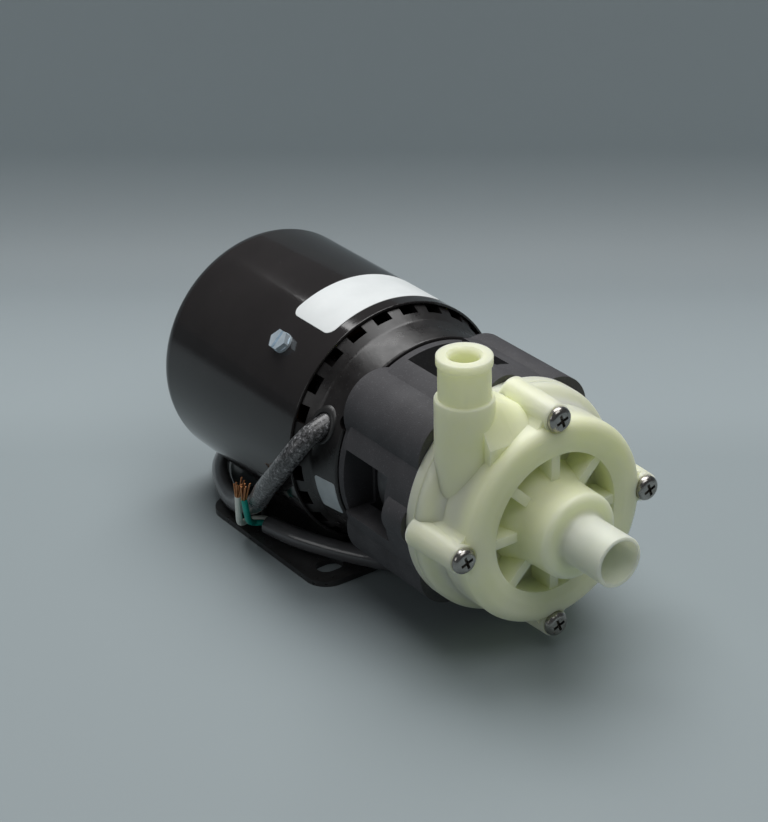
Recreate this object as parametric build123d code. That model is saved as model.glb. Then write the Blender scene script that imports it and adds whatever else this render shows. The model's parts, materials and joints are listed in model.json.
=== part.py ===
from build123d import *
import os
from math import atan2, cos, degrees, pi, radians, sin, sqrt, tan

# Magnetic drive pump on a stamped foot.
# Millimetres, +Z up. The origin is the middle of the foot's slot pattern, on the foot's underside.
# The shaft runs along Y. The inlet faces -Y, and the outlet stands up on the -X side.
# Shaft pieces are drawn in the shaft's own frame: x is across, y is up from the shaft's axis, and z is the
# station, measured forward (towards the inlet) from the drum's front rim.

# Clearances and fits
RUNNING_FIT = 0.05
SLIP_FIT = 0.1

# Motor drum
SHELL_RADIUS = 42.0
SHELL_WALL = 1.0
SHELL_LENGTH = 79.0
SHELL_BACK_ROUND = 6.0
SHELL_OVERHANG = 0.8

# Foot
FOOT_LENGTH = 69.5
FOOT_WIDTH = 79.0
FOOT_THICKNESS = 2.0
FOOT_GAP = 1.0
FOOT_CORNER = 8.0
RIM_SETBACK = 22.25
SLOT_SPACING_X = 59.0
SLOT_SPACING_Y = 50.5
SLOT_LENGTH = 9.5
SLOT_WIDTH = 7.0
SADDLE_HALF_WIDTH = 20.0
SADDLE_LENGTH = 46.0
SADDLE_SETBACK = 4.0
SADDLE_LIP = 0.5
SADDLE_CORNER = 2.0
SADDLE_SCREW_RADIUS = 2.0
SADDLE_SCREW_SPACING = 30.0
SADDLE_SCREW_INSET = 4.5
SADDLE_SCREW_GRIP = 2.4

# Front end bell
SPIGOT_DEPTH = 24.0
SPIGOT_WALL = 2.5
VENT_BAND_DEPTH = 6.5
NECK_SET_IN = 4.4
NECK_TAPER = 1.4
NECK_FRONT = 18.5
NECK_WALL = 3.0
BELL_RECESS = 3.4
BELL_DISC = 3.5
VENT_COUNT = 24
VENT_WIDTH = 6.0
VENT_FRONT = 3.4
VENT_LENGTH = 7.4
VENT_DEPTH = 5.0
RIM_NOTCH_RADIUS = 2.6
RIM_NOTCH_ANGLES = (128.0, 140.0, 151.0)

# Motor internals
SHAFT_RADIUS = 3.97
BEARING_RADIUS = 7.0
BEARING_LENGTH = 10.0
HUB_RADIUS = 11.0
ROTOR_DEPTH = 21.5
ROTOR_RING_WIDTH = 6.0
AIR_GAP = 0.5
YOKE_DEPTH = 11.0
STATOR_SLOTS = 12
TOOTH_TIP = 1.3
COIL_OVERHANG = 9.0
COIL_CLEARANCE = 0.4
REAR_BELL_LENGTH = 15.0
REAR_BELL_OPENING_HALF_ANGLE = 22.5
FAN_ROOM = 10.0
FAN_RADIUS = 30.0
FAN_HUB_RADIUS = 8.0
FAN_LENGTH = 4.5
FAN_BLADES = 8
THROUGH_BOLT_RADIUS = 2.0
THROUGH_BOLT_DEPTH = 7.5
LUG_RADIUS = 4.8

# Motor bracket
BRACKET_SET_IN = 0.6
BRACKET_GAP = 0.4
BRACKET_FRONT = 58.0
BRACKET_WALL = 2.8
BRACKET_RIM_LENGTH = 3.0
BRACKET_RIM_SET_IN = 0.6
BIG_LOBE_RADIUS = 13.0
BIG_LOBE_INSET = 9.4
SMALL_LOBE_RADIUS = 8.0
SMALL_LOBE_INSET = 4.0
SMALL_LOBE_LENGTH = 10.0
BRACKET_FRONT_WALL = 4.0
BRACKET_REAR_WALL = 4.3
WINDOW_WIDTH = 23.0
WINDOW_STEP = 4.6
WINDOW_FRONT = 46.0
BRACKET_SCREW_INSET = 6.2
BRACKET_SCREW_RADIUS = 1.9

# Magnetic coupling
CAN_RADIUS = 17.0
CAN_WALL = 1.8
CAN_REAR = 31.5
MAGNET_GAP = 1.5
DRIVE_MAGNET_THICKNESS = 6.1
DRIVE_CUP_WALL = 2.4
DRIVE_WEB = 2.5
DRIVE_CUP_LENGTH = 25.5
DRIVE_BOSS_RADIUS = 9.0
DRIVE_BOSS_REAR = 16.5
DRIVE_CUP_CLEARANCE = 2.0
SET_SCREW_RADIUS = 2.0
DRIVEN_MAGNET_GAP = 0.9
DRIVEN_MAGNET_LENGTH = 19.0
DRIVEN_MAGNET_REAR = 38.0

# Wet end
FLANGE_RADIUS = 38.0
FLANGE_THICKNESS = 4.0
FLANGE_CLEARANCE = 0.8
SPINDLE_RADIUS = 3.175
SPINDLE_SOCKET_DEPTH = 3.3
BUSHING_RADIUS = 5.5
WASHER_THICKNESS = 1.0
IMPELLER_RADIUS = 23.5
IMPELLER_HUB_RADIUS = 7.5
IMPELLER_EYE_RADIUS = 10.0
SHROUD_THICKNESS = 1.4
VANE_HEIGHT = 5.0
VANE_THICKNESS = 1.6
VANE_COUNT = 6
CHAMBER_RADIUS = 27.5
CHAMBER_DEPTH = 10.0

# Front housing
BASE_RADIUS = 35.8
BASE_THICKNESS = 4.0
RING_RADIUS = 34.0
RING_FRONT = 84.6
RING_ROUND = 3.6
RING_CROWN = 0.9
POCKET_RADIUS = 23.3
POCKET_FLOOR = 74.0
POCKET_ROUND = 1.2
SPOKE_COUNT = 8
SPOKE_WIDTH = 3.2
SPOKE_DROP = 0.6
CHANNEL_RADIUS = 3.7
CHANNEL_RING_RADIUS = 28.8
CHANNEL_STATION = 74.5
HUB_ROOT_RADIUS = 18.0
HUB_NECK_RADIUS = 14.5
HUB_NECK_STATION = 83.5
COLLAR_RADIUS = 14.1
COLLAR_FRONT = 95.4
COLLAR_ROUND = 2.2
INLET_RADIUS = 8.3
INLET_BORE = 7.1
INLET_END = 113.0
INLET_ROOT_ROUND = 2.0
INLET_THROAT_BORE = 10.0
THROAT_FRONT = 82.0
THROAT_TAPER = 4.0
SPIDER_RADIUS = 4.8
SPIDER_RIB = 1.8
OUTLET_OFFSET = 22.5
OUTLET_STATION = 67.5
OUTLET_RADIUS = 9.2
OUTLET_STEP_HEIGHT = 43.8
OUTLET_UPPER_RADIUS = 8.05
OUTLET_TOP = 57.7
OUTLET_LIP_RADIUS = 8.6
OUTLET_LIP_HEIGHT = 3.6
OUTLET_BORE = 4.4
OUTLET_MOUTH = 1.2
WEB_LEFT_HEIGHT = 42.0
WEB_RIGHT_HEIGHT = 37.2
WEB_FRONT = 70.0
WEB_SLOPE_FRONT = 80.0
WEB_DROP = 11.5
WEB_SLOPE_STEPS = ((0.25, 0.1), (0.7, 0.62), (1.0, 1.0))

# Cover screws
COVER_SCREW_CIRCLE = 35.8
COVER_SCREW_RADIUS = 2.08
COVER_HEAD_RADIUS = 4.1
COVER_HEAD_HEIGHT = 2.5
COVER_SCREW_END = 49.5
BOSS_ROOT_RADIUS = 5.3
BOSS_TIP_RADIUS = 4.6
BOSS_FRONT = 83.4
BOSS_FILLET = 4.5
SPOT_FACE_GAP = 0.5

# O-ring
SEAL_RADIUS = 31.6
SEAL_SECTION_WIDTH = 2.4
SEAL_SECTION_DEPTH = 1.5

# Shell screws, labels and grommet
SHELL_SCREW_ANGLES = (134.6, 314.6)
SHELL_SCREW_STATION = -19.5
SHELL_SCREW_RADIUS = 1.9
SHELL_SCREW_HEX = 6.4
SHELL_SCREW_WASHER_RADIUS = 3.5
LABEL_THICKNESS = 0.15
SHELL_LABEL_ANGLES = (56.0, 121.0)
SHELL_LABEL_REAR = -25.5
SHELL_LABEL_FRONT = -4.2
SHELL_LABEL_CORNER = 3.0
BELL_LABEL_ANGLES = (186.0, 205.0)
BELL_LABEL_REAR = 8.0
BELL_LABEL_FRONT = 17.5
GROMMET_WALL = 1.2
GROMMET_HEIGHT = 2.2

# Cord, chosen by hand from the exit to the bared end
CORD_RADIUS = 3.4
CORD_EXIT_X = -34.3
CORD_BEND_SHARE = 0.45
CORD_ROUTE = [
    (-32.0, -32.1, 59.5),
    (-39.8, -32.1, 57.4),
    (-44.8, -29.8, 51.2),
    (-47.0, -24.6, 43.0),
    (-46.8, -17.6, 35.2),
    (-44.8, -10.4, 28.2),
    (-41.4, -3.2, 21.6),
    (-38.2, 4.6, 14.8),
    (-36.4, 14.0, 9.2),
    (-34.8, 25.5, 5.45),
    (-28.8, 42.0, 5.45),
    (-18.8, 57.0, 3.45),
    (-5.0, 65.0, 3.45),
    (10.5, 66.0, 3.45),
    (24.5, 59.0, 3.45),
    (33.8, 46.0, 5.3),
    (38.4, 30.0, 5.45),
    (39.4, 12.0, 5.45),
    (38.8, -8.0, 5.45),
    (35.0, -26.5, 5.45),
    (26.5, -41.5, 5.4),
    (12.5, -50.5, 3.45),
    (-3.0, -49.5, 3.45),
    (-15.5, -40.0, 5.4),
    (-23.2, -27.6, 5.45),
    (-29.4, -14.0, 5.45),
    (-32.4, -4.6, 5.45),
    (-33.8, 4.0, 5.45),
]

# Bared leads at the cord's end
LEAD_RADIUS = 1.1
LEAD_PITCH = 2.3
WHITE_LEAD_ROUTE = [(-36.8, 11.2, 5.4), (-42.4, 8.8, 6.6), (-44.8, 5.2, 12.6), (-45.0, 4.8, 20.0)]
GREEN_LEAD_ROUTE = [(-38.2, 7.0, 6.4), (-41.6, 4.2, 9.6), (-44.0, 1.2, 14.4), (-45.0, 1.0, 20.6)]
BLACK_LEAD_ROUTE = [(-32.6, 9.6, 3.4), (-29.6, 13.4, 3.2), (-26.6, 18.0, 3.2)]
STRAND_RADIUS = 0.3
STRAND_LENGTH = 8.0
STRAND_SPREAD_UP = (-0.1, -0.35, 0.93)
STRAND_SPREAD_BACK = (0.55, 0.8, 0.1)

# Sizes that follow from the drum
SHAFT_HEIGHT = FOOT_THICKNESS + FOOT_GAP + SHELL_RADIUS
SHELL_INNER_RADIUS = SHELL_RADIUS - SHELL_WALL
SPIGOT_RADIUS = SHELL_INNER_RADIUS - SLIP_FIT
NECK_RADIUS = SHELL_RADIUS - NECK_SET_IN
NECK_FRONT_RADIUS = NECK_RADIUS - NECK_TAPER
ROTOR_RADIUS = SHELL_RADIUS - ROTOR_DEPTH
STATOR_BORE = ROTOR_RADIUS + AIR_GAP
YOKE_INNER_RADIUS = SHELL_RADIUS - YOKE_DEPTH
THROUGH_BOLT_CIRCLE = SHELL_RADIUS - THROUGH_BOLT_DEPTH

SHAFT_FRAME = Plane(
    origin=(0, -RIM_SETBACK, SHAFT_HEIGHT),
    x_dir=(1, 0, 0),
    z_dir=(0, -1, 0),
)
QUARTERS = (0, 90, 180, 270)
DIAGONALS = (45, 135, 225, 315)


def turned(points, rounds=None):
    """Solid of revolution about the shaft from (radius, station) corners, each with its own rounding."""
    if rounds is None:
        rounds = [0] * len(points)
    outline = FilletPolyline(*points, radius=rounds, close=True)
    return revolve(make_face(Plane.XZ * outline), Axis.Z)


def rod(radius, start, end, x=0.0, y=0.0):
    """Round bar along the shaft's direction between two stations."""
    low = min(start, end)
    return Pos(x, y, low) * extrude(Circle(radius), abs(end - start))


def around(radius, angle):
    """Point on a circle about the shaft."""
    return radius * cos(radians(angle)), radius * sin(radians(angle))


def at_angles(shape, angles):
    """Copies of one shape turned about the shaft."""
    return [Rot(0, 0, angle) * shape for angle in angles]


def joined(pieces):
    """All pieces as one solid."""
    whole = pieces[0]
    for piece in pieces[1:]:
        whole = whole + piece
    return whole


def without(whole, cutters):
    """The whole less each cutter in turn."""
    for cutter in cutters:
        whole = whole - cutter
    return whole


def group(pieces):
    """Separate solids kept in one node."""
    solids = []
    for piece in pieces:
        solids.extend(piece.solids())
    return Compound(children=solids)


def spaced(count, first=0.0):
    """Evenly spaced angles."""
    return [first + 360.0 * index / count for index in range(count)]


# Motor

STATOR_FRONT = -SPIGOT_DEPTH
STACK_LENGTH = SHELL_LENGTH - SPIGOT_DEPTH - REAR_BELL_LENGTH - FAN_ROOM
STATOR_REAR = STATOR_FRONT - STACK_LENGTH
REAR_BELL_REAR = STATOR_REAR - REAR_BELL_LENGTH
BELL_DISC_FRONT = NECK_FRONT - BELL_RECESS
BELL_DISC_REAR = BELL_DISC_FRONT - BELL_DISC
BELL_SOCKET_RADIUS = NECK_FRONT_RADIUS - NECK_WALL
BRACKET_REAR = NECK_FRONT + BRACKET_GAP
BRACKET_BODY_RADIUS = FLANGE_RADIUS - BRACKET_SET_IN
BRACKET_SCREW_CIRCLE = BELL_SOCKET_RADIUS - BRACKET_SCREW_INSET
FRONT_BEARING_REAR = BELL_DISC_FRONT - 1.0 - BEARING_LENGTH
REAR_BEARING_REAR = REAR_BELL_REAR + 1.0
SHAFT_REAR = -(SHELL_LENGTH - SHELL_WALL) + 1.5
CUP_WEB_REAR = CAN_REAR - DRIVE_WEB - 1.5
CUP_WEB_FRONT = CUP_WEB_REAR + DRIVE_WEB


def motor_shell():
    outer = SHELL_RADIUS
    inner = SHELL_INNER_RADIUS
    back = -SHELL_LENGTH
    drum = turned(
        [
            (0, back),
            (outer, back),
            (outer, SHELL_OVERHANG),
            (inner, SHELL_OVERHANG),
            (inner, back + SHELL_WALL),
            (0, back + SHELL_WALL),
        ],
        [0, SHELL_BACK_ROUND, 0.3, 0.3, SHELL_BACK_ROUND - SHELL_WALL, 0],
    )
    hole = Pos(0, 0, SHELL_SCREW_STATION) * Rot(0, 90, 0) * extrude(Circle(SHELL_SCREW_RADIUS), outer + 2)
    return without(drum, at_angles(hole, SHELL_SCREW_ANGLES))


def front_end_bell():
    """Cast bell: spigot in the drum, vent band, neck, disc with the bearing hub, and the cord hole."""
    bell = turned(
        [
            (SPIGOT_RADIUS, -SPIGOT_DEPTH),
            (SPIGOT_RADIUS, 0),
            (NECK_RADIUS, VENT_BAND_DEPTH),
            (NECK_FRONT_RADIUS, NECK_FRONT),
            (BELL_SOCKET_RADIUS, NECK_FRONT),
            (BELL_SOCKET_RADIUS, BELL_DISC_FRONT),
            (SHAFT_RADIUS + 0.6, BELL_DISC_FRONT),
            (SHAFT_RADIUS + 0.6, BELL_DISC_FRONT - 1.0),
            (BEARING_RADIUS, BELL_DISC_FRONT - 1.0),
            (BEARING_RADIUS, FRONT_BEARING_REAR),
            (HUB_RADIUS, FRONT_BEARING_REAR),
            (HUB_RADIUS, BELL_DISC_REAR),
            (NECK_FRONT_RADIUS - NECK_WALL, BELL_DISC_REAR),
            (NECK_RADIUS - NECK_WALL, VENT_BAND_DEPTH),
            (SPIGOT_RADIUS - SPIGOT_WALL, 0),
            (SPIGOT_RADIUS - SPIGOT_WALL, -SPIGOT_DEPTH),
        ],
        [0, 0.6, 3.0, 0.8, 0.5, 0, 0, 0, 0, 0, 1.0, 2.0, 2.0, 2.0, 0.4, 0],
    )
    lug = rod(LUG_RADIUS, -SPIGOT_DEPTH, 2.4, x=THROUGH_BOLT_CIRCLE)
    bell = joined([bell] + at_angles(lug, DIAGONALS))
    vent_middle = Pos(NECK_RADIUS + VENT_DEPTH / 2, 0, VENT_FRONT - VENT_LENGTH / 2)
    vent = vent_middle * Box(VENT_DEPTH, VENT_WIDTH, VENT_LENGTH)
    bell = without(bell, at_angles(vent, spaced(VENT_COUNT, 180 / VENT_COUNT)))
    tap_bore = rod(THROUGH_BOLT_RADIUS, -SPIGOT_DEPTH, 1.5, x=THROUGH_BOLT_CIRCLE)
    bell = without(bell, at_angles(tap_bore, DIAGONALS))
    notch = Pos(NECK_FRONT_RADIUS, 0, NECK_FRONT) * Rot(0, 90, 0) * Cylinder(RIM_NOTCH_RADIUS, 4 * NECK_WALL)
    bell = without(bell, at_angles(notch, RIM_NOTCH_ANGLES))
    hole_radius = BRACKET_SCREW_RADIUS + RUNNING_FIT
    screw_hole = rod(hole_radius, BELL_DISC_REAR - 1, BELL_DISC_FRONT + 1, x=BRACKET_SCREW_CIRCLE)
    bell = without(bell, at_angles(screw_hole, DIAGONALS))
    cross_rod = Cylinder(SHELL_SCREW_RADIUS, 2 * SHELL_RADIUS)
    shell_screw_hole = Pos(0, 0, SHELL_SCREW_STATION) * Rot(0, 90, 0) * cross_rod
    bell = bell - Rot(0, 0, SHELL_SCREW_ANGLES[0]) * shell_screw_hole
    return bell - cord_hole_frame() * Pos(0, 0, 1) * Cylinder(CORD_RADIUS + GROMMET_WALL, 10.0)


def neck_outside():
    """The bell's outer form as a full solid, for the pieces that follow it."""
    return turned(
        [
            (0, 0),
            (SPIGOT_RADIUS, 0),
            (NECK_RADIUS, VENT_BAND_DEPTH),
            (NECK_FRONT_RADIUS, NECK_FRONT),
            (0, NECK_FRONT),
        ],
        [0, 0.6, 3.0, 0.8, 0],
    )


def cord_hole_frame():
    """Frame at the cord's exit from the neck, with its own z along the cord's first run."""
    first, second = CORD_ROUTE[0], CORD_ROUTE[1]
    drop = (second[2] - first[2]) / (second[0] - first[0])
    height = first[2] + drop * (CORD_EXIT_X - first[0]) - SHAFT_HEIGHT
    station = -RIM_SETBACK - first[1]
    return Pos(CORD_EXIT_X, height, station) * Rot(0, 0, degrees(atan2(drop, 1))) * Rot(0, -90, 0)


def cord_grommet():
    """Collar that lines the cord hole, with a lip against the neck."""
    liner = Cylinder(CORD_RADIUS + GROMMET_WALL, 2 * GROMMET_HEIGHT)
    lip = Pos(0, 0, -GROMMET_HEIGHT) * Cylinder(CORD_RADIUS + GROMMET_WALL + 0.9, 2 * GROMMET_HEIGHT + 3.0)
    outside = cord_hole_frame() * lip - neck_outside()
    inside = cord_hole_frame() * liner & neck_outside()
    return outside + inside - cord_hole_frame() * Cylinder(CORD_RADIUS, SHELL_RADIUS)


def rear_end_bell():
    """Bearing bridge behind the stator, open between its four spokes."""
    front = STATOR_REAR
    rear = REAR_BELL_REAR
    bell = turned(
        [
            (SPIGOT_RADIUS, front),
            (SPIGOT_RADIUS, rear),
            (SHAFT_RADIUS + 0.6, rear),
            (SHAFT_RADIUS + 0.6, REAR_BEARING_REAR),
            (BEARING_RADIUS, REAR_BEARING_REAR),
            (BEARING_RADIUS, REAR_BEARING_REAR + BEARING_LENGTH),
            (HUB_RADIUS, REAR_BEARING_REAR + BEARING_LENGTH),
            (HUB_RADIUS, rear + 3.5),
            (SPIGOT_RADIUS - SPIGOT_WALL, rear + 3.5),
            (SPIGOT_RADIUS - SPIGOT_WALL, front),
        ],
        [0, 1.5, 0, 0, 0, 0, 1.0, 2.0, 2.0, 0],
    )
    lug = rod(LUG_RADIUS, rear, front, x=THROUGH_BOLT_CIRCLE)
    bell = joined([bell] + at_angles(lug, DIAGONALS))
    slope = tan(radians(REAR_BELL_OPENING_HALF_ANGLE))
    near = HUB_RADIUS + 3.0
    far = THROUGH_BOLT_CIRCLE - LUG_RADIUS - 2.7
    outline = Polyline(
        (near, -near * slope), (far, -far * slope), (far, far * slope), (near, near * slope), close=True
    )
    opening = Pos(0, 0, rear - 1) * extrude(make_face(outline), 6)
    bell = without(bell, at_angles(opening, QUARTERS))
    bore = rod(THROUGH_BOLT_RADIUS, rear - 1, front + 1, x=THROUGH_BOLT_CIRCLE)
    return without(bell, at_angles(bore, DIAGONALS))


def through_bolts():
    """Long bolts from the rear bell, through the stator, into the front bell's lugs."""
    bolt = rod(THROUGH_BOLT_RADIUS, REAR_BELL_REAR, 1.0, x=THROUGH_BOLT_CIRCLE)
    hexagon = RegularPolygon(3.4, 6, major_radius=False)
    head = Pos(THROUGH_BOLT_CIRCLE, 0, REAR_BELL_REAR - 2.4) * extrude(hexagon, 2.4)
    return group(at_angles(bolt + head, DIAGONALS))


def sleeve_bearing(rear):
    bore = SHAFT_RADIUS + RUNNING_FIT
    front = rear + BEARING_LENGTH
    corners = [(bore, rear), (BEARING_RADIUS, rear), (BEARING_RADIUS, front), (bore, front)]
    return turned(corners, [0, 0.5, 0.5, 0])


def stator_core():
    """Lamination stack with rounded winding slots that open on the bore."""
    stack = rod(SPIGOT_RADIUS, STATOR_REAR, STATOR_FRONT)
    stack = stack - rod(STATOR_BORE, STATOR_REAR - 1, STATOR_FRONT + 1)
    slot = Pos(slot_middle(), 0, STATOR_REAR - 1) * extrude(slot_shape(), STACK_LENGTH + 2)
    mouth = Pos(STATOR_BORE, 0, STATOR_REAR - 1) * extrude(Rectangle(3 * TOOTH_TIP, 1.6), STACK_LENGTH + 2)
    stack = without(stack, at_angles(slot + mouth, spaced(STATOR_SLOTS)))
    bore_hole = rod(THROUGH_BOLT_RADIUS, STATOR_REAR - 1, STATOR_FRONT + 1, x=THROUGH_BOLT_CIRCLE)
    return without(stack, at_angles(bore_hole, DIAGONALS))


def slot_middle():
    return (STATOR_BORE + YOKE_INNER_RADIUS) / 2


def slot_shape():
    """Winding slot's outline, across the shaft."""
    return RectangleRounded(YOKE_INNER_RADIUS - STATOR_BORE - 2 * TOOTH_TIP, 6.4, 2.0)


def stator_coils():
    """Windings: bars in the slots, joined by a rounded end turn at each end."""
    inner = STATOR_BORE + TOOTH_TIP + COIL_CLEARANCE
    outer = THROUGH_BOLT_CIRCLE - LUG_RADIUS - COIL_CLEARANCE
    bar = Pos(slot_middle(), 0, STATOR_REAR - 0.5) * extrude(slot_shape(), STACK_LENGTH + 1)
    front = turned(
        [
            (inner, STATOR_FRONT + 0.3),
            (outer, STATOR_FRONT + 0.3),
            (outer, STATOR_FRONT + COIL_OVERHANG),
            (inner, STATOR_FRONT + COIL_OVERHANG),
        ],
        [1.0, 1.0, 3.0, 3.0],
    )
    back = turned(
        [
            (inner, STATOR_REAR - 0.3),
            (outer, STATOR_REAR - 0.3),
            (outer, STATOR_REAR - COIL_OVERHANG),
            (inner, STATOR_REAR - COIL_OVERHANG),
        ],
        [1.0, 1.0, 3.0, 3.0],
    )
    return joined([front, back] + at_angles(bar, spaced(STATOR_SLOTS)))


def rotor_core():
    """Squirrel-cage rotor with stub fins on its end rings."""
    body = turned(
        [
            (SHAFT_RADIUS, STATOR_REAR),
            (ROTOR_RADIUS, STATOR_REAR),
            (ROTOR_RADIUS, STATOR_FRONT),
            (SHAFT_RADIUS, STATOR_FRONT),
        ],
        [0, 0.6, 0.6, 0],
    )
    outer = ROTOR_RADIUS - 1.5
    inner = outer - ROTOR_RING_WIDTH
    ring = rod(outer, STATOR_FRONT, STATOR_FRONT + 3.0) - rod(inner, STATOR_FRONT - 1, STATOR_FRONT + 4)
    back_ring = Pos(0, 0, -STACK_LENGTH - 3.0) * ring
    return body + ring + back_ring


def motor_shaft():
    """Ground shaft, with a flat where the drive hub's screw bears."""
    front = CUP_WEB_FRONT
    shaft = turned(
        [(0, SHAFT_REAR), (SHAFT_RADIUS, SHAFT_REAR), (SHAFT_RADIUS, front), (0, front)],
        [0, 0.4, 0.4, 0],
    )
    return shaft


def cooling_fan():
    """Small axial fan pressed on the shaft's rear end."""
    rear = SHAFT_REAR + 0.3
    hub = rod(FAN_HUB_RADIUS, rear, rear + FAN_LENGTH) - rod(SHAFT_RADIUS, rear - 1, rear + FAN_LENGTH + 1)
    span = FAN_RADIUS - FAN_HUB_RADIUS + 1.0
    blade_middle = Pos(FAN_RADIUS - span / 2, 0, rear + FAN_LENGTH / 2)
    blade = blade_middle * Rot(35, 0, 0) * Box(span, 1.2, FAN_LENGTH * 0.9)
    return joined([hub] + at_angles(blade, spaced(FAN_BLADES)))


def shell_screws():
    """Slotted hex washer-head screws through the drum into the bell's spigot."""
    shank_start = SPIGOT_RADIUS - SPIGOT_WALL - 1.5
    washer_top = SHELL_RADIUS + 0.9
    head_top = washer_top + 2.0
    washer_disc = Circle(SHELL_SCREW_WASHER_RADIUS)
    washer = Pos(0, 0, SHELL_RADIUS - 1) * extrude(washer_disc, washer_top - SHELL_RADIUS + 1)
    head = Pos(0, 0, washer_top) * extrude(RegularPolygon(SHELL_SCREW_HEX / 2, 6, major_radius=False), 2.0)
    slot = Pos(0, 0, head_top) * Box(1.1, 9.0, 2.0)
    shank_disc = Circle(SHELL_SCREW_RADIUS - RUNNING_FIT)
    shank = Pos(0, 0, shank_start) * extrude(shank_disc, washer_top - shank_start)
    turn_out = Pos(0, 0, SHELL_SCREW_STATION) * Rot(0, 90, 0)
    drum = rod(SHELL_RADIUS, SHELL_SCREW_STATION - 8, SHELL_SCREW_STATION + 8)
    screw = turn_out * (washer + head - slot) - drum + turn_out * shank
    return group(at_angles(screw, SHELL_SCREW_ANGLES))


def shell_label():
    """Thin blank sheet that follows the drum, with rounded corners."""
    middle = (SHELL_LABEL_ANGLES[0] + SHELL_LABEL_ANGLES[1]) / 2
    half_turn = (SHELL_LABEL_ANGLES[1] - SHELL_LABEL_ANGLES[0]) / 2
    half_width = SHELL_RADIUS * sin(radians(half_turn))
    length = SHELL_LABEL_FRONT - SHELL_LABEL_REAR
    outside = rod(SHELL_RADIUS + LABEL_THICKNESS, SHELL_LABEL_REAR, SHELL_LABEL_FRONT)
    sheet = outside - rod(SHELL_RADIUS, SHELL_LABEL_REAR - 1, SHELL_LABEL_FRONT + 1)
    blank = extrude(RectangleRounded(length, 2 * half_width, SHELL_LABEL_CORNER), 2 * SHELL_RADIUS)
    cutter = Pos(0, 0, (SHELL_LABEL_REAR + SHELL_LABEL_FRONT) / 2) * Rot(0, 90, 0) * blank
    return Rot(0, 0, middle) * (sheet & cutter)


def bell_label():
    """Small blank foil on the neck, following its slope."""
    middle = (BELL_LABEL_ANGLES[0] + BELL_LABEL_ANGLES[1]) / 2
    half_width = NECK_RADIUS * sin(radians((BELL_LABEL_ANGLES[1] - BELL_LABEL_ANGLES[0]) / 2))
    length = BELL_LABEL_FRONT - BELL_LABEL_REAR
    rear_radius = neck_radius_at(BELL_LABEL_REAR)
    front_radius = neck_radius_at(BELL_LABEL_FRONT)
    sheet = turned(
        [
            (rear_radius, BELL_LABEL_REAR),
            (rear_radius + LABEL_THICKNESS, BELL_LABEL_REAR),
            (front_radius + LABEL_THICKNESS, BELL_LABEL_FRONT),
            (front_radius, BELL_LABEL_FRONT),
        ]
    )
    blank = extrude(RectangleRounded(length, 2 * half_width, 1.0), 2 * NECK_RADIUS)
    cutter = Pos(0, 0, (BELL_LABEL_REAR + BELL_LABEL_FRONT) / 2) * Rot(0, 90, 0) * blank
    return Rot(0, 0, middle) * (sheet & cutter)


def neck_radius_at(station):
    """Radius of the neck's cone at a station."""
    share = (station - VENT_BAND_DEPTH) / (NECK_FRONT - VENT_BAND_DEPTH)
    return NECK_RADIUS + share * (NECK_FRONT_RADIUS - NECK_RADIUS)


# Foot


def foot_plate():
    """Stamped plate with rounded corners and four slots."""
    outline = RectangleRounded(FOOT_WIDTH, FOOT_LENGTH, FOOT_CORNER)
    slots = [
        Pos(x, y) * SlotOverall(SLOT_LENGTH, SLOT_WIDTH)
        for x in (-SLOT_SPACING_X / 2, SLOT_SPACING_X / 2)
        for y in (-SLOT_SPACING_Y / 2, SLOT_SPACING_Y / 2)
    ]
    plate = extrude(without(outline, slots), FOOT_THICKNESS)
    hole = Cylinder(SADDLE_SCREW_RADIUS, 3 * FOOT_THICKNESS)
    holes = [Pos(x, y, 0) * hole for x, y in saddle_screw_places()]
    return without(plate, holes)


def saddle_screw_places():
    """Four screw places, two under each side of the cradle."""
    middle = saddle_middle()
    across = SADDLE_HALF_WIDTH - SADDLE_SCREW_INSET
    along = SADDLE_SCREW_SPACING / 2
    return [(x, middle + y) for x in (-across, across) for y in (-along, along)]


def saddle_middle():
    """Middle of the saddle along Y."""
    return -RIM_SETBACK + SADDLE_SETBACK + SADDLE_LENGTH / 2


def motor_saddle():
    """Cradle between the plate and the drum, with four blind holes for its screws."""
    drum_at_side = SHAFT_HEIGHT - sqrt(SHELL_RADIUS**2 - SADDLE_HALF_WIDTH**2)
    outline = RectangleRounded(2 * SADDLE_HALF_WIDTH, SADDLE_LENGTH, SADDLE_CORNER)
    height = drum_at_side + SADDLE_LIP - FOOT_THICKNESS
    block = Pos(0, saddle_middle(), FOOT_THICKNESS) * extrude(outline, height)
    drum = Pos(0, saddle_middle(), SHAFT_HEIGHT) * Rot(90, 0, 0) * Cylinder(SHELL_RADIUS, 2 * SADDLE_LENGTH)
    cradle = block - drum
    hole = extrude(Circle(SADDLE_SCREW_RADIUS), FOOT_THICKNESS + SADDLE_SCREW_GRIP)
    return without(cradle, [Pos(x, y, 0) * hole for x, y in saddle_screw_places()])


def saddle_screws():
    """Flush rivet screws from under the plate into the saddle."""
    shank = extrude(Circle(SADDLE_SCREW_RADIUS), FOOT_THICKNESS + SADDLE_SCREW_GRIP)
    socket = extrude(RegularPolygon(1.0, 6), 0.8)
    return group([Pos(x, y, 0) * (shank - socket) for x, y in saddle_screw_places()])


# Bracket


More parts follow.
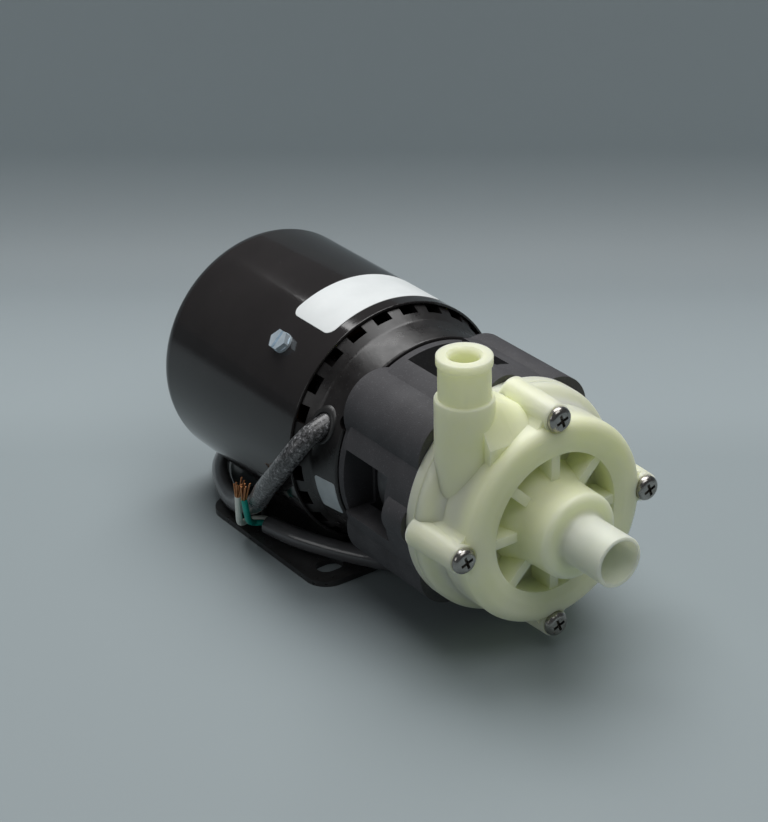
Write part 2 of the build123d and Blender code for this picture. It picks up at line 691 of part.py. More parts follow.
def motor_bracket():
    """Moulded bracket: rear rim, hollow body with four big lobes, four short screw lobes and four windows."""
    rim_front = BRACKET_REAR + BRACKET_RIM_LENGTH
    body = turned(
        [
            (0, BRACKET_REAR),
            (NECK_FRONT_RADIUS - BRACKET_RIM_SET_IN, BRACKET_REAR),
            (NECK_FRONT_RADIUS - BRACKET_RIM_SET_IN, rim_front),
            (BRACKET_BODY_RADIUS, rim_front),
            (BRACKET_BODY_RADIUS, BRACKET_FRONT),
            (0, BRACKET_FRONT),
        ],
        [0, 0.5, 0, 0.9, 0.4, 0],
    )
    lobe_offset = BRACKET_BODY_RADIUS - BIG_LOBE_INSET
    short_lobe_offset = COVER_SCREW_CIRCLE - SMALL_LOBE_INSET
    lobe = rod(BIG_LOBE_RADIUS, BRACKET_REAR, BRACKET_FRONT, x=lobe_offset)
    short_lobe = rod(SMALL_LOBE_RADIUS, BRACKET_FRONT - SMALL_LOBE_LENGTH, BRACKET_FRONT, x=short_lobe_offset)
    bracket = joined([body] + at_angles(lobe, DIAGONALS) + at_angles(short_lobe, QUARTERS))
    rear_inside = BRACKET_REAR + BRACKET_REAR_WALL
    front_inside = BRACKET_FRONT - BRACKET_FRONT_WALL
    cavity_radius = DRIVE_CUP_RADIUS + DRIVE_CUP_CLEARANCE
    cavity = rod(cavity_radius, rear_inside, front_inside)
    pocket = rod(BIG_LOBE_RADIUS - BRACKET_WALL, rear_inside, front_inside, x=lobe_offset)
    bracket = without(bracket, [cavity] + at_angles(pocket, DIAGONALS))
    window_inside = cavity_radius - WINDOW_STEP
    window_depth = BRACKET_BODY_RADIUS - window_inside + 1
    window = Pos(window_inside + window_depth / 2, 0, (rim_front + WINDOW_FRONT) / 2) * Box(
        window_depth, WINDOW_WIDTH, WINDOW_FRONT - rim_front
    )
    bracket = without(bracket, at_angles(window, QUARTERS))
    spigot = rod(BELL_SOCKET_RADIUS - SLIP_FIT, BELL_DISC_FRONT, BRACKET_REAR)
    bracket = bracket + spigot
    bracket = bracket - rod(DRIVE_BOSS_RADIUS + 3.0, BELL_DISC_FRONT - 1, rear_inside + 1)
    bracket = bracket - rod(CAN_RADIUS + SLIP_FIT, front_inside - 1, BRACKET_FRONT + 1)
    screw_hole_radius = BRACKET_SCREW_RADIUS + RUNNING_FIT
    screw_hole = rod(screw_hole_radius, BELL_DISC_FRONT - 1, rear_inside + 1, x=BRACKET_SCREW_CIRCLE)
    bracket = without(bracket, at_angles(screw_hole, DIAGONALS))
    tap_hole_radius = COVER_SCREW_RADIUS + RUNNING_FIT
    tap_hole = rod(tap_hole_radius, COVER_SCREW_END - 1, BRACKET_FRONT + 1, x=COVER_SCREW_CIRCLE)
    return without(bracket, at_angles(tap_hole, QUARTERS))


def bracket_screws():
    """Four screws that hold the bracket on the bell."""
    seat = BRACKET_REAR + BRACKET_REAR_WALL
    head = Pos(BRACKET_SCREW_CIRCLE, 0, seat) * extrude(Circle(3.5), 2.0)
    recess = Pos(BRACKET_SCREW_CIRCLE, 0, seat + 1.6) * (Box(3.6, 0.9, 1.6) + Box(0.9, 3.6, 1.6))
    shank = rod(BRACKET_SCREW_RADIUS, BELL_DISC_REAR - 0.5, seat, x=BRACKET_SCREW_CIRCLE)
    return group(at_angles(head + shank - recess, DIAGONALS))


# Magnetic coupling

DRIVE_MAGNET_INNER = CAN_RADIUS + MAGNET_GAP
DRIVE_MAGNET_OUTER = DRIVE_MAGNET_INNER + DRIVE_MAGNET_THICKNESS
DRIVE_CUP_RADIUS = DRIVE_MAGNET_OUTER + DRIVE_CUP_WALL
CAN_INNER = CAN_RADIUS - CAN_WALL
CAN_FLOOR = CAN_REAR + 2.2
FLANGE_REAR = BRACKET_FRONT
FLANGE_FRONT = FLANGE_REAR + FLANGE_THICKNESS


def drive_hub():
    """Cup that carries the drive magnet, with its boss on the motor shaft."""
    hub = turned(
        [
            (SHAFT_RADIUS, DRIVE_BOSS_REAR),
            (DRIVE_BOSS_RADIUS, DRIVE_BOSS_REAR),
            (DRIVE_BOSS_RADIUS, CUP_WEB_REAR),
            (DRIVE_CUP_RADIUS, CUP_WEB_REAR),
            (DRIVE_CUP_RADIUS, CUP_WEB_REAR + DRIVE_CUP_LENGTH),
            (DRIVE_MAGNET_OUTER, CUP_WEB_REAR + DRIVE_CUP_LENGTH),
            (DRIVE_MAGNET_OUTER, CUP_WEB_FRONT),
            (SHAFT_RADIUS, CUP_WEB_FRONT),
        ],
        [0, 0.6, 1.5, 1.0, 0, 0, 0, 0],
    )
    screw_hole = Pos(0, 0, set_screw_station()) * Rot(0, 90, 0) * extrude(
        Circle(SET_SCREW_RADIUS), DRIVE_BOSS_RADIUS + 1
    )
    return hub - screw_hole


def set_screw_station():
    return (DRIVE_BOSS_REAR + CUP_WEB_REAR) / 2


def hub_set_screw():
    """Headless screw in the boss, its end on the shaft and a hex socket outside."""
    length = DRIVE_BOSS_RADIUS - SHAFT_RADIUS - 0.4
    screw = extrude(Circle(SET_SCREW_RADIUS), length)
    socket = Pos(0, 0, length - 1.6) * extrude(RegularPolygon(1.0, 6), 2.0)
    saddle_cut = Pos(0, 0, -SHAFT_RADIUS) * Rot(0, 90, 0) * Cylinder(SHAFT_RADIUS, 10)
    screw = Pos(0, 0, SHAFT_RADIUS) * (screw - socket - saddle_cut)
    return Pos(0, 0, set_screw_station()) * Rot(0, 90, 0) * screw


def drive_magnet():
    end = CUP_WEB_REAR + DRIVE_CUP_LENGTH
    return rod(DRIVE_MAGNET_OUTER, CUP_WEB_FRONT, end) - rod(DRIVE_MAGNET_INNER, CUP_WEB_FRONT - 1, end + 1)


# Wet end

BUSHING_REAR = CAN_FLOOR + SPINDLE_SOCKET_DEPTH + WASHER_THICKNESS
CHAMBER_FRONT = FLANGE_FRONT + CHAMBER_DEPTH
IMPELLER_BACK = FLANGE_FRONT + 0.8
SHROUD_FRONT = IMPELLER_BACK + SHROUD_THICKNESS
VANE_FRONT = SHROUD_FRONT + VANE_HEIGHT
BUSHING_FRONT = CHAMBER_FRONT - 0.8
SPIDER_REAR = BUSHING_FRONT + WASHER_THICKNESS
SPINDLE_FRONT = SPIDER_REAR + 5.0
SPIDER_FRONT = SPINDLE_FRONT + 1.6


def rear_housing():
    """Disc flange and thin-walled can in one moulding, with the spindle's rear socket and the seal groove."""
    socket_radius = SPINDLE_RADIUS + 2.6
    housing = turned(
        [
            (0, CAN_REAR),
            (CAN_RADIUS, CAN_REAR),
            (CAN_RADIUS, FLANGE_REAR),
            (FLANGE_RADIUS, FLANGE_REAR),
            (FLANGE_RADIUS, FLANGE_FRONT),
            (CAN_INNER, FLANGE_FRONT),
            (CAN_INNER, CAN_FLOOR),
            (socket_radius, CAN_FLOOR),
            (socket_radius, CAN_FLOOR + SPINDLE_SOCKET_DEPTH),
            (SPINDLE_RADIUS, CAN_FLOOR + SPINDLE_SOCKET_DEPTH),
            (SPINDLE_RADIUS, CAN_FLOOR),
            (0, CAN_FLOOR),
        ],
        [0, 1.5, 0, 0.5, 0.5, 0.8, 1.0, 0, 0, 0, 0, 0],
    )
    groove_middle = FLANGE_FRONT - SEAL_SECTION_DEPTH / 2
    groove = ring_of_rectangle(SEAL_RADIUS, groove_middle, SEAL_SECTION_WIDTH + 0.4, SEAL_SECTION_DEPTH)
    hole = rod(COVER_SCREW_RADIUS + SLIP_FIT, FLANGE_REAR - 1, FLANGE_FRONT + 1, x=COVER_SCREW_CIRCLE)
    return without(housing - groove, at_angles(hole, QUARTERS))


def ring_of_rectangle(radius, station, width, depth):
    inner = radius - width / 2
    outer = radius + width / 2
    low = station - depth / 2
    high = station + depth / 2
    return turned([(inner, low), (outer, low), (outer, high), (inner, high)])


def housing_o_ring():
    """Seal, pressed to a rounded rectangle in its groove."""
    inner = SEAL_RADIUS - SEAL_SECTION_WIDTH / 2
    outer = SEAL_RADIUS + SEAL_SECTION_WIDTH / 2
    low = FLANGE_FRONT - SEAL_SECTION_DEPTH
    return turned(
        [(inner, low), (outer, low), (outer, FLANGE_FRONT), (inner, FLANGE_FRONT)],
        [0.5, 0.5, 0.5, 0.5],
    )


def spindle():
    """Ceramic spindle, fixed at both ends."""
    return turned(
        [(0, CAN_FLOOR), (SPINDLE_RADIUS, CAN_FLOOR), (SPINDLE_RADIUS, SPINDLE_FRONT), (0, SPINDLE_FRONT)],
        [0, 0.4, 0.4, 0],
    )


def washer(rear):
    inner = SPINDLE_RADIUS + RUNNING_FIT
    front = rear + WASHER_THICKNESS
    return turned([(inner, rear), (BUSHING_RADIUS, rear), (BUSHING_RADIUS, front), (inner, front)])


def impeller_bushing():
    bore = SPINDLE_RADIUS + RUNNING_FIT
    rear = BUSHING_REAR + RUNNING_FIT
    front = BUSHING_FRONT - RUNNING_FIT
    corners = [(bore, rear), (BUSHING_RADIUS, rear), (BUSHING_RADIUS, front), (bore, front)]
    return turned(corners, [0.3, 0.3, 0.3, 0.3])


def driven_magnet():
    """Ring magnet on the impeller's sleeve."""
    outer = CAN_INNER - DRIVEN_MAGNET_GAP
    front = DRIVEN_MAGNET_REAR + DRIVEN_MAGNET_LENGTH
    return turned(
        [
            (IMPELLER_HUB_RADIUS, DRIVEN_MAGNET_REAR),
            (outer, DRIVEN_MAGNET_REAR),
            (outer, front),
            (IMPELLER_HUB_RADIUS, front),
        ],
        [0, 1.0, 1.0, 0],
    )


def vane():
    """One backward-curved vane, as a thick arc across the shaft."""
    path = ThreePointArc((8.5, 0), (17.0, -5.0), around(IMPELLER_RADIUS - 0.6, -38.0))
    strip = trace(path, VANE_THICKNESS)
    return Pos(0, 0, SHROUD_FRONT) * extrude(strip, VANE_HEIGHT)


def impeller():
    """Closed impeller with its sleeve, back shroud, six vanes and the front shroud round the eye."""
    sleeve_rear = DRIVEN_MAGNET_REAR - 0.6
    body = turned(
        [
            (BUSHING_RADIUS, sleeve_rear),
            (IMPELLER_HUB_RADIUS, sleeve_rear),
            (IMPELLER_HUB_RADIUS, IMPELLER_BACK),
            (IMPELLER_RADIUS, IMPELLER_BACK),
            (IMPELLER_RADIUS, SHROUD_FRONT),
            (IMPELLER_HUB_RADIUS, SHROUD_FRONT),
            (BUSHING_RADIUS + 1.0, VANE_FRONT + 1.5),
            (BUSHING_RADIUS, VANE_FRONT + 1.5),
        ],
        [0, 0, 0, 0.4, 0.3, 1.0, 0, 0],
    )
    front_shroud = turned(
        [
            (IMPELLER_EYE_RADIUS, VANE_FRONT),
            (IMPELLER_RADIUS, VANE_FRONT),
            (IMPELLER_RADIUS, VANE_FRONT + SHROUD_THICKNESS),
            (IMPELLER_EYE_RADIUS, VANE_FRONT + SHROUD_THICKNESS),
        ],
        [0.3, 0.3, 0.4, 0.5],
    )
    return joined([body, front_shroud] + at_angles(vane(), spaced(VANE_COUNT)))


def front_housing():
    """Pump cover: base, volute ring with its bosses, spoked recess, hub with the inlet, and the outlet."""
    body = ring_and_base() + outlet_column() + outlet_web() + boss_skirts()
    body = body - recess() + hub()
    body = joined([body] + at_angles(cover_boss(), QUARTERS))
    spot_face = rod(COVER_HEAD_RADIUS + SPOT_FACE_GAP, BOSS_FRONT, RING_FRONT + 1, x=COVER_SCREW_CIRCLE)
    body = without(body, at_angles(spot_face, QUARTERS))
    body = body - rod(CHAMBER_RADIUS, FLANGE_FRONT - 8, CHAMBER_FRONT)
    body = body - Pos(0, 0, CHANNEL_STATION) * Torus(CHANNEL_RING_RADIUS, CHANNEL_RADIUS)
    body = body - inlet_bore() - outlet_bore()
    body = without(body, at_angles(cover_hole(), QUARTERS))
    return body + inlet_spider()


def ring_and_base():
    """Flat base and the volute ring's outside, with a crowned face that falls towards the recess."""
    return turned(
        [
            (0, FLANGE_FRONT),
            (BASE_RADIUS, FLANGE_FRONT),
            (BASE_RADIUS, FLANGE_FRONT + BASE_THICKNESS),
            (RING_RADIUS, FLANGE_FRONT + BASE_THICKNESS),
            (RING_RADIUS, RING_FRONT),
            (RING_RADIUS - 2 * RING_ROUND, RING_FRONT),
            (POCKET_RADIUS, RING_FRONT - RING_CROWN),
            (0, RING_FRONT - RING_CROWN),
        ],
        [0, 0, 1.2, 1.2, RING_ROUND, 3.0, 0, 0],
    )


def recess():
    """The round recess in the ring's face, less its spokes."""
    pocket = turned(
        [
            (0, POCKET_FLOOR),
            (POCKET_RADIUS, POCKET_FLOOR),
            (POCKET_RADIUS, RING_FRONT + 1),
            (0, RING_FRONT + 1),
        ],
        [0, POCKET_ROUND, 0, 0],
    )
    spoke_front = RING_FRONT - RING_CROWN - SPOKE_DROP
    depth = spoke_front - POCKET_FLOOR + 1
    spoke = Pos(POCKET_RADIUS / 2, 0, spoke_front - depth / 2) * Box(POCKET_RADIUS + 2, SPOKE_WIDTH, depth)
    return without(pocket, at_angles(spoke, spaced(SPOKE_COUNT)))


def hub():
    """Hub that rises from the recess, narrows to the collar and carries the inlet stub."""
    return turned(
        [
            (0, POCKET_FLOOR - 1),
            (HUB_ROOT_RADIUS, POCKET_FLOOR - 1),
            (HUB_NECK_RADIUS, HUB_NECK_STATION),
            (COLLAR_RADIUS, COLLAR_FRONT),
            (INLET_RADIUS, COLLAR_FRONT),
            (INLET_RADIUS, INLET_END),
            (0, INLET_END),
        ],
        [0, 0, 8.0, COLLAR_ROUND, INLET_ROOT_ROUND, 0.4, 0],
    )


def boss_skirts():
    """Concave skirts that run from the screw bosses into the ring's wall."""
    bosses = [Pos(*around(COVER_SCREW_CIRCLE, angle)) * Circle(BOSS_TIP_RADIUS) for angle in QUARTERS]
    outline = joined([Circle(RING_RADIUS - 0.3)] + bosses)
    outline = fillet(outline.vertices(), BOSS_FILLET)
    height = RING_FRONT - RING_ROUND + 0.8 - FLANGE_FRONT
    return Pos(0, 0, FLANGE_FRONT) * extrude(outline, height)


def cover_boss():
    height = BOSS_FRONT - FLANGE_FRONT
    draft = degrees(atan2(BOSS_ROOT_RADIUS - BOSS_TIP_RADIUS, height))
    return Pos(COVER_SCREW_CIRCLE, 0, FLANGE_FRONT) * extrude(Circle(BOSS_ROOT_RADIUS), height, taper=draft)


def cover_hole():
    return rod(COVER_SCREW_RADIUS + SLIP_FIT, FLANGE_FRONT - 1, BOSS_FRONT + 1, x=COVER_SCREW_CIRCLE)


def upright(points, rounds):
    """Solid of revolution about the outlet's axis from (radius, height above the shaft) corners."""
    return Pos(-OUTLET_OFFSET, 0, OUTLET_STATION) * Rot(-90, 0, 0) * turned(points, rounds)


def outlet_column():
    """Upright outlet: column, thinner stub and lip; cut flat behind as far up as the rear flange reaches."""
    column = upright(
        [
            (0, 0),
            (OUTLET_RADIUS, 0),
            (OUTLET_RADIUS, OUTLET_STEP_HEIGHT),
            (OUTLET_UPPER_RADIUS, OUTLET_STEP_HEIGHT),
            (OUTLET_UPPER_RADIUS, OUTLET_TOP - OUTLET_LIP_HEIGHT),
            (OUTLET_LIP_RADIUS, OUTLET_TOP - OUTLET_LIP_HEIGHT + 0.8),
            (OUTLET_LIP_RADIUS, OUTLET_TOP),
            (0, OUTLET_TOP),
        ],
        [0, 0, 0.6, 0.3, 0.8, 0.6, 0.4, 0],
    )
    cut_height = FLANGE_RADIUS + FLANGE_CLEARANCE
    block = Box(3 * OUTLET_RADIUS, cut_height, 2 * FLANGE_THICKNESS)
    return column - Pos(-OUTLET_OFFSET, cut_height / 2, FLANGE_REAR) * block


def outlet_web():
    """Web between the outlet column and the top boss: an upright plate, then a smooth fall into the ring."""
    plate = extrude(web_outline(0), WEB_FRONT - FLANGE_FRONT)
    reach = WEB_SLOPE_FRONT - WEB_FRONT
    sections = [web_outline(0)]
    for along, down in WEB_SLOPE_STEPS:
        sections.append(Pos(0, 0, along * reach) * web_outline(down * WEB_DROP))
    return Pos(0, 0, FLANGE_FRONT) * plate + Pos(0, 0, WEB_FRONT) * loft(sections)


def web_outline(drop):
    """The web's outline across the shaft, its top lowered by a drop."""
    corners = [
        (-OUTLET_OFFSET, 15.0),
        (-OUTLET_OFFSET, WEB_LEFT_HEIGHT - drop),
        (OUTLET_RADIUS - OUTLET_OFFSET, WEB_LEFT_HEIGHT - drop),
        (-BOSS_TIP_RADIUS, WEB_RIGHT_HEIGHT - drop / 2),
        (0, 15.0),
    ]
    return make_face(FilletPolyline(*corners, radius=[0, 0, 3.0, 2.0, 0], close=True))


def inlet_bore():
    """Passage from the inlet's end to the impeller's eye."""
    return turned(
        [
            (0, CHAMBER_FRONT - 1),
            (INLET_THROAT_BORE, CHAMBER_FRONT - 1),
            (INLET_THROAT_BORE, THROAT_FRONT),
            (INLET_BORE, THROAT_FRONT + THROAT_TAPER),
            (INLET_BORE, INLET_END + 1),
            (0, INLET_END + 1),
        ]
    )


def outlet_bore():
    """Passage from the volute up through the outlet, flared at its mouth."""
    mouth = OUTLET_BORE + OUTLET_MOUTH
    return upright(
        [
            (0, 0),
            (OUTLET_BORE, 0),
            (OUTLET_BORE, OUTLET_TOP - OUTLET_MOUTH),
            (mouth, OUTLET_TOP),
            (mouth, OUTLET_TOP + 1),
            (0, OUTLET_TOP + 1),
        ],
        [0, 0, 2.0, 0, 0, 0],
    )


def inlet_spider():
    """Spindle socket on three ribs in the inlet's throat."""
    socket = rod(SPIDER_RADIUS, SPIDER_REAR, SPIDER_FRONT)
    socket = socket - rod(SPINDLE_RADIUS, SPIDER_REAR - 1, SPINDLE_FRONT)
    rib_length = INLET_THROAT_BORE - SPIDER_RADIUS + 1.2
    rib = Pos(SPIDER_RADIUS - 0.6 + rib_length / 2, 0, (SPIDER_REAR + SPIDER_FRONT) / 2) * Box(
        rib_length, SPIDER_RIB, SPIDER_FRONT - SPIDER_REAR
    )
    return joined([socket] + at_angles(rib, spaced(3, 90.0)))


def cover_screws():
    """Cross-recessed pan-head screws through the bosses into the bracket's short lobes."""
    head = turned(
        [
            (0, BOSS_FRONT),
            (COVER_HEAD_RADIUS, BOSS_FRONT),
            (COVER_HEAD_RADIUS, BOSS_FRONT + COVER_HEAD_HEIGHT),
            (0, BOSS_FRONT + COVER_HEAD_HEIGHT),
        ],
        [0, 0.2, 1.7, 0],
    )
    recess = Pos(0, 0, BOSS_FRONT + COVER_HEAD_HEIGHT - 0.5) * (Box(4.4, 1.0, 2.2) + Box(1.0, 4.4, 2.2))
    shank = rod(COVER_SCREW_RADIUS, COVER_SCREW_END, BOSS_FRONT)
    screw = Pos(COVER_SCREW_CIRCLE, 0, 0) * (head + shank - Rot(0, 0, 20) * recess)
    return group(at_angles(screw, QUARTERS))


# Cord


def bend_radii(points):
    """Largest arc that each pair of runs allows at their shared point."""
    radii = []
    for before, here, after in zip(points, points[1:], points[2:]):
        run_in = Vector(*here) - Vector(*before)
        run_out = Vector(*after) - Vector(*here)
        turn = run_in.get_angle(run_out)
        shorter = min(run_in.length, run_out.length)
        radii.append(CORD_BEND_SHARE * shorter / tan(radians(turn) / 2))
    return radii


def swept_tube(points, radii, radius):
    """Round tube along straight runs joined by arcs."""
    path = FilletPolyline(*points, radius=radii)
    section = Plane(origin=path @ 0, z_dir=path % 0) * Circle(radius)
    return sweep(section, path=path)


def power_cord():
    radii = bend_radii(CORD_ROUTE)
    print("cord radii in mm:", [round(value, 1) for value in radii])
    tube = swept_tube(CORD_ROUTE, radii, CORD_RADIUS)
    path = FilletPolyline(*CORD_ROUTE, radius=radii)
    print("cord length in mm:", round(path.length, 1))
    print("tube volume over section times length:", tube.volume / (pi * CORD_RADIUS**2 * path.length))
    return tube


def cord_end_plane():
    """Plane of the jacket's end face, with its z pointing out of the cord."""
    before, end = CORD_ROUTE[-2], CORD_ROUTE[-1]
    heading = Vector(*end) - Vector(*before)
    return Plane(origin=end, x_dir=(0, 0, 1), z_dir=heading.normalized())


def lead_points(angle, straight, route):
    """A lead's points: straight out of the jacket's end face, then its own route."""
    face = cord_end_plane()
    start = face.from_local_coords(Vector(*around(LEAD_PITCH / sqrt(3), angle)))
    return [tuple(start), tuple(start + face.z_dir * straight)] + route


def lead(angle, straight, route):
    """One insulated lead, as a round tube along its points."""
    points = lead_points(angle, straight, route)
    return swept_tube(points, bend_radii(points), LEAD_RADIUS)


def strands(route, spread):
    """Seven bare strands from a lead's end, fanning out as they go."""
    end = Vector(*route[-1])
    heading = (end - Vector(*route[-2])).normalized()
    face = Plane(origin=end, z_dir=heading)
    wires = []
    for index, angle in enumerate([0] + spaced(6)):
        reach = 0.0 if index == 0 else 0.75
        outward = face.from_local_coords(Vector(*around(reach, angle))) - end
        foot = end + outward
        tip = foot + Vector(*spread) * (STRAND_LENGTH * (0.7 + 0.06 * index)) + outward * 1.2
        path = Line(tuple(foot), tuple(tip))
        wires.append(sweep(Plane(origin=foot, z_dir=heading) * Circle(STRAND_RADIUS), path=path))
    return wires


def copper_strands():
    return group(
        strands(WHITE_LEAD_ROUTE, STRAND_SPREAD_UP)
        + strands(GREEN_LEAD_ROUTE, STRAND_SPREAD_UP)
        + strands(BLACK_LEAD_ROUTE, STRAND_SPREAD_BACK)
    )


def build():
    nodes = {}
    shaft_pieces = {
        "motor_shell": motor_shell(),
        "front_end_bell": front_end_bell(),
        "cord_grommet": cord_grommet(),
        "rear_end_bell": rear_end_bell(),
        "through_bolts": through_bolts(),
        "front_bearing": sleeve_bearing(FRONT_BEARING_REAR),
        "rear_bearing": sleeve_bearing(REAR_BEARING_REAR),
        "stator_core": stator_core(),
        "stator_coils": stator_coils(),
        "rotor_core": rotor_core(),
        "motor_shaft": motor_shaft(),
        "cooling_fan": cooling_fan(),
        "shell_screws": shell_screws(),
        "shell_label": shell_label(),
        "bell_label": bell_label(),
        "motor_bracket": motor_bracket(),
        "bracket_screws": bracket_screws(),
        "drive_hub": drive_hub(),
        "hub_set_screw": hub_set_screw(),
        "drive_magnet": drive_magnet(),
        "rear_housing": rear_housing(),
        "housing_o_ring": housing_o_ring(),
        "spindle": spindle(),
        "rear_thrust_washer": washer(BUSHING_REAR - WASHER_THICKNESS),
        "front_thrust_washer": washer(BUSHING_FRONT),
        "impeller_bushing": impeller_bushing(),
        "driven_magnet": driven_magnet(),
        "impeller": impeller(),
        "front_housing": front_housing(),
        "cover_screws": cover_screws(),
    }
    for name, shape in shaft_pieces.items():
        nodes[name] = SHAFT_FRAME.location * shape
    nodes["foot_plate"] = foot_plate()
    nodes["motor_saddle"] = motor_saddle()
    nodes["saddle_screws"] = saddle_screws()
    nodes["power_cord"] = power_cord()
    nodes["white_lead"] = lead(60, 3.4, WHITE_LEAD_ROUTE)
    nodes["green_lead"] = lead(300, 1.6, GREEN_LEAD_ROUTE)
    nodes["black_lead"] = lead(180, 2.0, BLACK_LEAD_ROUTE)
    nodes["copper_strands"] = copper_strands()
    return nodes


os.makedirs("parts", exist_ok=True)
for node_name, node_shape in build().items():
    export_step(node_shape, f"parts/{node_name}.step")
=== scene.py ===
import json
import math

import bmesh
import bpy
from mathutils import Matrix, Vector


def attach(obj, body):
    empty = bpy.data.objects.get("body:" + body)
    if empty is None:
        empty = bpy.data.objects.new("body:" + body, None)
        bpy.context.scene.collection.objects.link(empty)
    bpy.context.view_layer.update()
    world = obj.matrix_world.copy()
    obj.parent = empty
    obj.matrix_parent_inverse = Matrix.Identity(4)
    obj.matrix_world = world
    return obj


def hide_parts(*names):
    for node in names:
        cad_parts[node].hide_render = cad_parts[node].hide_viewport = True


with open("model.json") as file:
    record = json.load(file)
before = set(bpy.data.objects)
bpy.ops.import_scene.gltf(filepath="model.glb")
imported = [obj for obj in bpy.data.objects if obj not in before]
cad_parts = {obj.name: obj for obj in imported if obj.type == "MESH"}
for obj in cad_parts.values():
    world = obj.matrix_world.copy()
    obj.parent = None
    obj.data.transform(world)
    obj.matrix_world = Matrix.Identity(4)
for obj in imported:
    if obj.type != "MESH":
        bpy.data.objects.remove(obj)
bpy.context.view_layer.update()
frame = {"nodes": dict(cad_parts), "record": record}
nodes = frame["nodes"]
scene = bpy.context.scene

# Sizes and places are in metres, in the pump's own frame
SHAFT_HEIGHT = 0.045

# Cord, from the bell's neck down, once round the foot, to its stripped end
CORD_RADIUS = 0.0034
CORD_ROUTE = [
    (-0.0320, -0.0321, 0.0595),
    (-0.0398, -0.0321, 0.0574),
    (-0.0448, -0.0298, 0.0512),
    (-0.0470, -0.0246, 0.0430),
    (-0.0468, -0.0176, 0.0352),
    (-0.0448, -0.0104, 0.0282),
    (-0.0414, -0.0032, 0.0216),
    (-0.0382, 0.0046, 0.0148),
    (-0.0364, 0.0140, 0.0092),
    (-0.0348, 0.0255, 0.00545),
    (-0.0288, 0.0420, 0.00545),
    (-0.0188, 0.0570, 0.00345),
    (-0.0050, 0.0650, 0.00345),
    (0.0105, 0.0660, 0.00345),
    (0.0245, 0.0590, 0.00345),
    (0.0338, 0.0460, 0.0053),
    (0.0384, 0.0300, 0.00545),
    (0.0394, 0.0120, 0.00545),
    (0.0388, -0.0080, 0.00545),
    (0.0350, -0.0265, 0.00545),
    (0.0265, -0.0415, 0.0054),
    (0.0125, -0.0505, 0.00345),
    (-0.0030, -0.0495, 0.00345),
    (-0.0155, -0.0400, 0.0054),
    (-0.0232, -0.0276, 0.00545),
    (-0.0294, -0.0140, 0.00545),
    (-0.0324, -0.0046, 0.00545),
    (-0.0338, 0.0040, 0.00545),
]

# Heights between which the cord goes from clean to dusty
CORD_CLEAN_TOP = 0.016
CORD_DUST_BOTTOM = 0.022

# Where the cord's middle line leaves the bell's neck, and which way
CORD_EXIT = (-0.03407, -0.0321, 0.05894)
CORD_EXIT_DIRECTION = (-0.9656, 0.0, -0.26)

# The neck's two ends along y, and its radius at each
NECK_REAR = -0.02875
NECK_FRONT = -0.04075
NECK_REAR_RADIUS = 0.0376
NECK_FRONT_RADIUS = 0.0362

# Rim round the cord hole: distance from the cord's middle line, and height above the neck
COLLAR_STEPS = 64
COLLAR_PROFILE = [
    (0.00510, -0.0004),
    (0.00508, 0.0003),
    (0.00490, 0.0007),
    (0.00455, 0.0009),
    (0.00410, 0.0009),
    (0.00375, 0.0007),
    (0.00352, 0.0003),
    (0.00348, -0.0004),
    (0.00348, -0.0020),
    (0.00450, -0.0022),
]

# Cover's shoulder, from the rear flange's rim to the volute ring: radius and place along y
SHOULDER_STEPS = 180
SHOULDER_PROFILE = [
    (0.03300, -0.08430),
    (0.03745, -0.08430),
    (0.03775, -0.08442),
    (0.03790, -0.08475),
    (0.03795, -0.08540),
    (0.03788, -0.08620),
    (0.03765, -0.08690),
    (0.03725, -0.08755),
    (0.03670, -0.08820),
    (0.03605, -0.08875),
    (0.03545, -0.08930),
    (0.03495, -0.08995),
    (0.03455, -0.09070),
    (0.03425, -0.09155),
    (0.03405, -0.09250),
    (0.03385, -0.09350),
    (0.03300, -0.09400),
]

# Along y, the inlet's plastic changes from thick at its root to thin in the stub
INLET_ROOT = -0.1125
INLET_THIN = -0.124

# Camera, at the photograph's place and angle, with its lens and sensor in millimetres
CAMERA_PLACE = Vector((-0.40983, -0.59509, 0.41947))
CAMERA_AZIMUTH = math.radians(-35.32)
CAMERA_PITCH = math.radians(27.76)
CAMERA_ROLL = math.radians(-1.23)
CAMERA_LENS = 106.28
CAMERA_SENSOR = 36.0
CAMERA_NEAR = 0.05
CAMERA_FAR = 20.0

# Paper sweep: flat floor, round bend and low wall, turned to face the camera. It lies just under the
# foot, and over a floor that runs on past the wall
SWEEP_AZIMUTH = math.radians(-38.3)
SWEEP_REACH = 2.2
SWEEP_LEVEL = -0.00002
SWEEP_FRONT = -2.0
BEND_START = 0.178
BEND_RADIUS = 0.045
BEND_STEPS = 24
WALL_HEIGHT = 0.18
FLOOR_LEVEL = -0.0004
FLOOR_BACK = 2.4

# Paper's tones: under the pump, then painted light that makes it lighter most of the way to the wall
# and at the wall, in place of light that the far floor lacks; the place along y where the painted light
# starts
PAPER_FLOOR = (0.265, 0.31, 0.325)
PAPER_PAINTED_LIGHT_NEAR_WALL = (0.36, 0.41, 0.43)
PAPER_PAINTED_LIGHT_AT_WALL = (0.375, 0.425, 0.445)
PAINTED_LIGHT_START = 0.04
PAPER_ROUGHNESS = 0.6

# World: weak sky for the light, and the tone that the camera sees past the sweep
SKY_COLOUR = (0.92, 0.96, 1.0)
SKY_STRENGTH = 0.1
BACKDROP_COLOUR = (0.118, 0.141, 0.150)

